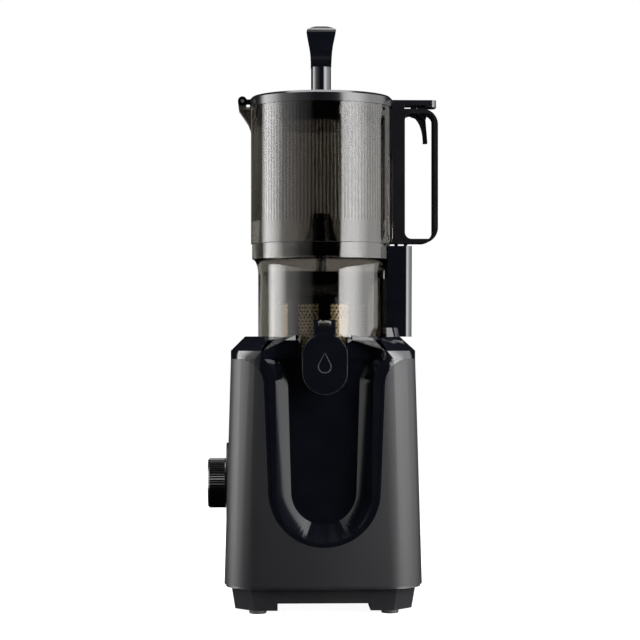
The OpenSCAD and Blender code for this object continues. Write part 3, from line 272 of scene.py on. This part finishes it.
def satin_moulding():
    """Half-matt black of the base pan."""
    material = new_material("pan_satin", (0.016, 0.016, 0.018), 0.34, IOR=1.5)
    grain = object_noise(material, 1400.0, 2.0)
    add_bump(material, grain.outputs["Fac"], 0.06, 0.0002)
    vary_roughness(material, grain.outputs["Fac"], 0.28, 0.40)
    cloud = object_noise(material, 35.0)
    vary_colour(material, cloud.outputs["Fac"], (0.014, 0.014, 0.016), (0.019, 0.019, 0.021))
    return material


def smoked_clear(name, tint):
    """Smoked see-through plastic; the tint is set on the shader's own socket."""
    material = new_material(name, tint, 0.03, IOR=1.46, Transmission_Weight=1.0)
    wave = object_noise(material, 18.0, 1.0)
    add_bump(material, wave.outputs["Fac"], 0.01, 0.002)
    return material


def smoked_ribbed():
    """The hopper's smoked plastic in light and dark stripes round the ribbed band: partly the darker
    tint of the thicker wall, and painted light and shade standing in for the ribs' refraction.
    """
    material = smoked_clear("smoked_ribbed", (0.13, 0.122, 0.11))
    x, y, z = object_position(material)
    rib = calc(material, "SINE", calc(material, "MULTIPLY", calc(material, "ARCTAN2", y, x), RIB_COUNT))
    above = calc(material, "GREATER_THAN", z, RIB_LOW)
    below = calc(material, "LESS_THAN", z, RIB_HIGH)
    painted_stripe_swing = calc(material, "MULTIPLY", calc(material, "MULTIPLY", above, below), 0.5)
    share = calc(material, "MULTIPLY_ADD", rib, painted_stripe_swing, 0.5)
    # Painted light and shade stripes: the tint swings between dark and pale round the ribs.
    vary_colour(material, share, (0.05, 0.045, 0.04), (0.30, 0.277, 0.245), 0.0, 1.0)
    return material


def gold_plate():
    """Thin coated metal of the strainer's screens."""
    material = new_material("gold_plate", (0.83, 0.70, 0.46), 0.3, Metallic=0.6, IOR=1.5)
    brush = object_noise(material, 700.0, 2.0, (1.0, 1.0, 0.1))
    add_bump(material, brush.outputs["Fac"], 0.08, 0.0002)
    vary_roughness(material, brush.outputs["Fac"], 0.22, 0.4)
    vary_colour(material, brush.outputs["Fac"], (0.80, 0.66, 0.42), (0.90, 0.78, 0.56))
    return material


def perforated_gold():
    """Gold screen with staggered fine holes painted as dark dots, by angle and height round the
    strainer's axis; their dark colour is painted shade.
    """
    material = gold_plate()
    material.name = "gold_perforated"
    x, y, z = object_position(material)
    row_height = sin(pi / 3)

    bearing = calc(material, "ARCTAN2", y, x)
    around = calc(material, "MULTIPLY", bearing, SCREEN_RADIUS / HOLE_PITCH)
    row = calc(material, "DIVIDE", z, HOLE_PITCH * row_height)
    odd = calc(material, "MODULO", calc(material, "FLOOR", row), 2.0)
    column = calc(material, "ADD", around, calc(material, "MULTIPLY", odd, 0.5))
    across = calc(material, "SUBTRACT", calc(material, "FRACT", column), 0.5)
    middle = calc(material, "SUBTRACT", calc(material, "FRACT", row), 0.5)
    up = calc(material, "MULTIPLY", middle, row_height)
    across_squared = calc(material, "MULTIPLY", across, across)
    up_squared = calc(material, "MULTIPLY", up, up)
    distance = calc(material, "SQRT", calc(material, "ADD", across_squared, up_squared))

    rim = add_node(material, "ShaderNodeMapRange")
    rim.inputs["From Min"].default_value = HOLE_WIDTH / HOLE_PITCH / 2 - HOLE_BLUR
    rim.inputs["From Max"].default_value = HOLE_WIDTH / HOLE_PITCH / 2 + HOLE_BLUR
    link(material, distance, rim.inputs["Value"])
    base = shader_inputs(material)["Base Color"]
    plate = base.links[0].from_socket
    mix = add_node(material, "ShaderNodeMix", data_type="RGBA")
    link(material, rim.outputs["Result"], mix.inputs["Factor"])
    # Painted shade: the dark colour of the holes stands in for the shade seen through them.
    mix.inputs["A"].default_value = (0.02, 0.016, 0.01, 1.0)
    link(material, plate, mix.inputs["B"])
    link(material, mix.outputs["Result"], base)
    add_bump(material, rim.outputs["Result"], 0.6, 0.0003)
    return material


def turned_steel():
    material = new_material("turned_steel", (0.60, 0.61, 0.63), 0.25, Metallic=1.0)
    brush = object_noise(material, 500.0, 2.0, (1.0, 1.0, 6.0))
    add_bump(material, brush.outputs["Fac"], 0.1, 0.0002)
    vary_roughness(material, brush.outputs["Fac"], 0.2, 0.36)
    return material


def soft_rubber(name, low, high):
    material = new_material(name, low, 0.7)
    grain = object_noise(material, 1800.0)
    add_bump(material, grain.outputs["Fac"], 0.2, 0.0003)
    vary_colour(material, grain.outputs["Fac"], low, high)
    vary_roughness(material, grain.outputs["Fac"], 0.6, 0.8)
    return material


def plain_moulding(name, low, high, roughness):
    material = new_material(name, low, roughness)
    grain = object_noise(material, 600.0)
    add_bump(material, grain.outputs["Fac"], 0.06, 0.0003)
    vary_colour(material, grain.outputs["Fac"], low, high)
    vary_roughness(material, grain.outputs["Fac"], roughness - 0.05, roughness + 0.08)
    return material


def cast_alloy():
    material = new_material("cast_alloy", (0.5, 0.5, 0.52), 0.5, Metallic=0.9)
    grain = object_noise(material, 900.0)
    add_bump(material, grain.outputs["Fac"], 0.25, 0.0004)
    vary_roughness(material, grain.outputs["Fac"], 0.4, 0.6)
    return material


def wound_copper():
    material = new_material("wound_copper", (0.5, 0.22, 0.1), 0.35, Metallic=0.8)
    wires = object_noise(material, 300.0, 1.0, (1.0, 1.0, 8.0))
    add_bump(material, wires.outputs["Fac"], 0.5, 0.0008)
    vary_colour(material, wires.outputs["Fac"], (0.42, 0.17, 0.07), (0.62, 0.30, 0.14))
    return material


FINISHES = {
    "gloss_black": piano_black(),
    "pan_black": satin_moulding(),
    # Paler grey for the juice cap's groove and rim edges: a painted highlight where the real cap
    # catches light.
    "painted_cap_highlight": plain_moulding("painted_cap_highlight", (0.045, 0.045, 0.048), (0.065, 0.065, 0.068), 0.25),
    "smoked_bowl": smoked_clear("smoked_bowl", (0.28, 0.265, 0.24)),
    "smoked_ribbed": smoked_ribbed(),
    "matt_black": charcoal_matt(),
    "satin_black": satin_black(),
    "gold_mesh": perforated_gold(),
    "steel": turned_steel(),
    "foot_rubber": soft_rubber("pad_rubber", (0.02, 0.02, 0.02), (0.035, 0.035, 0.035)),
    "seal_red": soft_rubber("seal_silicone", (0.38, 0.05, 0.04), (0.46, 0.08, 0.06)),
    "silicone_grey": soft_rubber("flap_silicone", (0.30, 0.30, 0.31), (0.38, 0.38, 0.39)),
    "grey_plastic": plain_moulding("inner_grey", (0.28, 0.28, 0.30), (0.34, 0.34, 0.36), 0.45),
    "board_green": plain_moulding("board_lacquer", (0.03, 0.14, 0.06), (0.05, 0.20, 0.08), 0.3),
    "copper_varnish": wound_copper(),
    "cast_alloy": cast_alloy(),
}


# Nodes whose finish is a closer match than the one of their slot in the record.
OWN_FINISH = {
    "base_pan": "pan_black",
    "lid": "satin_black",
    "hopper_handle": "satin_black",
    "trigger": "satin_black",
    "dial": "satin_black",
    "feed_plate": "satin_black",
    "bowl": "smoked_bowl",
    "hopper": "smoked_ribbed",
}


def dress_frame():
    """Gives each CAD node its own finish, or else the finish of its slot in the record."""
    slots = {part["node"]: part["material_slot"] for part in frame["record"]["subparts"]}
    for node, piece in frame["nodes"].items():
        finish = FINISHES[OWN_FINISH.get(node, slots[node])]
        piece.data.materials.clear()
        piece.data.materials.append(finish)


# ---- mouldings --------------------------------------------------------------
def start_on(piece):
    """Deselects everything and makes one piece the active one."""
    bpy.ops.object.select_all(action="DESELECT")
    piece.select_set(True)
    bpy.context.view_layer.objects.active = piece


def chamfer_recess_top(deck):
    """Cuts the chamfer where the deck's top meets the recess, left and right of the spout."""
    low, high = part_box("top_deck")
    lines = deck.data
    for edge in lines.edges:
        first, second = (lines.vertices[index].co for index in edge.vertices)
        level = abs(first.z - second.z) < LEVEL_WITHIN
        at_top = min(first.z, second.z) > high.z - CHAMFER_REACH_DOWN
        along_x = abs(first.y - second.y) < ALONG_X_WITHIN
        long_enough = abs(first.x - second.x) > SHORTEST_CHAMFERED
        at_front = first.y < low.y + CHAMFER_REACH_BACK
        beside_slot = min(abs(first.x), abs(second.x)) > SLOT_HALF
        edge.select = level and at_top and along_x and long_enough and at_front and beside_slot
    if any(edge.select for edge in lines.edges):
        bpy.ops.object.mode_set(mode="EDIT")
        bpy.ops.mesh.bevel(offset=DECK_CHAMFER, segments=1)
        bpy.ops.object.mode_set(mode="OBJECT")


def paint_cap_highlights(cap):
    """Paints a highlight in a paler grey on the cap's drop-shaped groove, the rounded edge of its rim
    and the rim's lower edge.
    """
    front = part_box("juice_cap")[0].y
    cap.data.materials.append(FINISHES["painted_cap_highlight"])
    for face in cap.data.polygons:
        at_front = face.center.y < front + GROOVE_DEEP
        in_drop = abs(face.center.x) < DROP_HALF
        beside_drop = abs(face.center.x) > DROP_HALF
        sunk = at_front and face.center.y > front + GROOVE_SHALLOW
        drop = sunk and abs(face.normal.y) > SQUARE_ON and in_drop
        edge = at_front and EDGE_TURNED_MOST < -face.normal.y < EDGE_TURNED_LEAST and beside_drop
        low_edge = at_front and face.normal.z < -EDGE_TURNED_MOST and face.center.z < CAP_FOOT_TOP
        # The groove's floor, the rim's rounded edge and its downward-facing lower edge get the painted
        # highlight.
        face.material_index = int(drop or edge or low_edge)


def smooth_moulding(node, sharp_angle, edge_radius):
    """A merged copy of a CAD node, with soft shading and, where one is given, a radius on its edges."""
    source = frame["nodes"][node]
    piece = bpy.data.objects.new(node + "_moulding", source.data.copy())
    bpy.context.scene.collection.objects.link(piece)
    start_on(piece)
    bpy.ops.mesh.customdata_custom_splitnormals_clear()
    bpy.ops.object.mode_set(mode="EDIT")
    bpy.ops.mesh.select_all(action="SELECT")
    bpy.ops.mesh.remove_doubles(threshold=MERGE_DISTANCE)
    if edge_radius:
        bpy.ops.mesh.dissolve_limited(angle_limit=FLAT_WITHIN)
    bpy.ops.mesh.select_all(action="DESELECT")
    bpy.ops.object.mode_set(mode="OBJECT")
    if node == "top_deck":
        chamfer_recess_top(piece)
    if edge_radius:
        edge = piece.modifiers.new("edge_radius", "BEVEL")
        edge.width = edge_radius
        edge.segments = 2
        edge.limit_method = "ANGLE"
        edge.angle_limit = radians(sharp_angle + 5)
        edge.miter_outer = "MITER_ARC"
        bpy.ops.object.modifier_apply(modifier=edge.name)
    bpy.ops.object.shade_smooth_by_angle(angle=radians(sharp_angle))
    weight = piece.modifiers.new("face_weight", "WEIGHTED_NORMAL")
    weight.keep_sharp = True
    bpy.ops.object.modifier_apply(modifier=weight.name)
    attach(piece, source["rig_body"])
    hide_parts(node)
    return piece


# ---- studio -----------------------------------------------------------------
def add_area_light(name, place, target, width, height, power):
    data = bpy.data.lights.new(name, "AREA")
    data.shape = "RECTANGLE"
    data.size = width
    data.size_y = height
    data.energy = power
    lamp = bpy.data.objects.new(name, data)
    lamp.location = place
    lamp.rotation_euler = (Vector(target) - Vector(place)).to_track_quat("-Z", "Y").to_euler()
    lamp.visible_camera = False
    bpy.context.scene.collection.objects.link(lamp)
    return lamp


def softbox(name, side, stops):
    """Upright light beside the object; a stop is a bearing from the camera's axis and a brightness."""
    spots = [-SOFTBOX_DISTANCE / tan(radians(bearing)) for bearing, _ in stops]
    y_front, y_back = spots[0], spots[-1]
    middle = (y_front + y_back) / 2
    width = y_back - y_front
    level = SOFTBOX_HEIGHT / 2 - SOFTBOX_DROP
    peak = max(brightness for _, brightness in stops)
    power = peak * pi * width * SOFTBOX_HEIGHT
    place, target = (side * SOFTBOX_DISTANCE, middle, level), (0.0, middle, level)
    lamp = add_area_light(name, place, target, width, SOFTBOX_HEIGHT, power)
    lamp.data.use_nodes = True
    emission = lamp.data.node_tree.nodes["Emission"]
    point = add_node(lamp.data, "ShaderNodeNewGeometry")
    parts = add_node(lamp.data, "ShaderNodeSeparateXYZ")
    share = add_node(lamp.data, "ShaderNodeMapRange")
    share.inputs["From Min"].default_value = y_front
    share.inputs["From Max"].default_value = y_back
    fade = add_node(lamp.data, "ShaderNodeValToRGB")
    link(lamp.data, point.outputs["Position"], parts.inputs["Vector"])
    link(lamp.data, parts.outputs["Y"], share.inputs["Value"])
    link(lamp.data, share.outputs["Result"], fade.inputs["Fac"])
    steps = fade.color_ramp.elements
    for index, (spot, (_, brightness)) in enumerate(zip(spots, stops)):
        along = (spot - y_front) / width
        stop = steps[index] if index < 2 else steps.new(along)
        stop.position = along
        stop.color = (*[brightness / peak] * 3, 1.0)
    link(lamp.data, fade.outputs["Color"], emission.inputs["Strength"])


def stage_material(name, base, glow):
    material = bpy.data.materials.new(name)
    material.use_nodes = True
    inputs = shader_inputs(material)
    inputs["Base Color"].default_value = (base, base, base, 1.0)
    inputs["Roughness"].default_value = 0.9
    inputs["Specular IOR Level"].default_value = 0.0
    inputs["Emission Color"].default_value = (1.0, 1.0, 1.0, 1.0)
    inputs["Emission Strength"].default_value = glow
    return material


def add_stage_sheet(name, size, place, turn, material):
    """A plain sheet that the camera sees, also through the smoked plastic, but that lights nothing."""
    bpy.ops.mesh.primitive_plane_add(size=1.0, location=place, rotation=turn)
    sheet = bpy.context.object
    sheet.name = name
    sheet.scale = (size[0], size[1], 1.0)
    sheet.data.materials.append(material)
    sheet.visible_diffuse = False
    sheet.visible_glossy = False


def build_world():
    """Dark for the object's reflections, and pale where the camera looks past the stage."""
    world = bpy.data.worlds.new("studio_world")
    world.use_nodes = True
    ray = add_node(world, "ShaderNodeLightPath")
    seen = add_node(world, "ShaderNodeMapRange")
    seen.inputs["To Min"].default_value = WORLD_LIGHT
    seen.inputs["To Max"].default_value = WORLD_SEEN
    link(world, ray.outputs["Is Camera Ray"], seen.inputs["Value"])
    link(world, seen.outputs["Result"], world.node_tree.nodes["Background"].inputs["Color"])
    bpy.context.scene.world = world


def build_studio():
    wall = stage_material("backdrop_white", 0.0, 1.0)
    ground = stage_material("floor_white", 0.3, 0.95)
    add_stage_sheet("backdrop", (14.0, 10.0), (0.0, 3.6, 2.55), (pi / 2, 0.0, 0.0), wall)
    add_stage_sheet("floor", (7.0, 7.0), (0.0, -1.0, 0.0), (0.0, 0.0, 0.0), ground)
    softbox("right_softbox", 1, RIGHT_SOFTBOX)
    softbox("left_softbox", -1, LEFT_SOFTBOX)
    add_area_light("top_light", (0.0, 0.1, 1.9), (0.0, 0.0, 0.3), 1.2, 1.0, 22)
    add_area_light("high_front_light", (0.0, -1.0, 2.1), (0.0, 0.0, 0.45), 1.3, 0.6, 3.5)
    bpy.context.scene.view_settings.view_transform = "Standard"


def build_camera():
    data = bpy.data.cameras.new("camera")
    data.lens = CAMERA_LENS
    data.sensor_width = 36.0
    data.shift_x = (FRAME_PX / 2 - AXIS_PX) / FRAME_PX
    data.shift_y = (HORIZON_PX - FRAME_PX / 2) / FRAME_PX
    camera = bpy.data.objects.new("camera", data)
    camera.location = (
        CAMERA_DISTANCE * sin(CAMERA_AZIMUTH),
        -CAMERA_DISTANCE * cos(CAMERA_AZIMUTH),
        CAMERA_HEIGHT,
    )
    camera.rotation_euler = (pi / 2, 0.0, CAMERA_AZIMUTH)
    bpy.context.scene.collection.objects.link(camera)
    bpy.context.scene.camera = camera


dress_frame()
for node, (sharp_angle, edge_radius) in MOULDINGS.items():
    moulding = smooth_moulding(node, sharp_angle, edge_radius)
    if node == "juice_cap":
        paint_cap_highlights(moulding)
build_camera()
build_studio()
build_world()
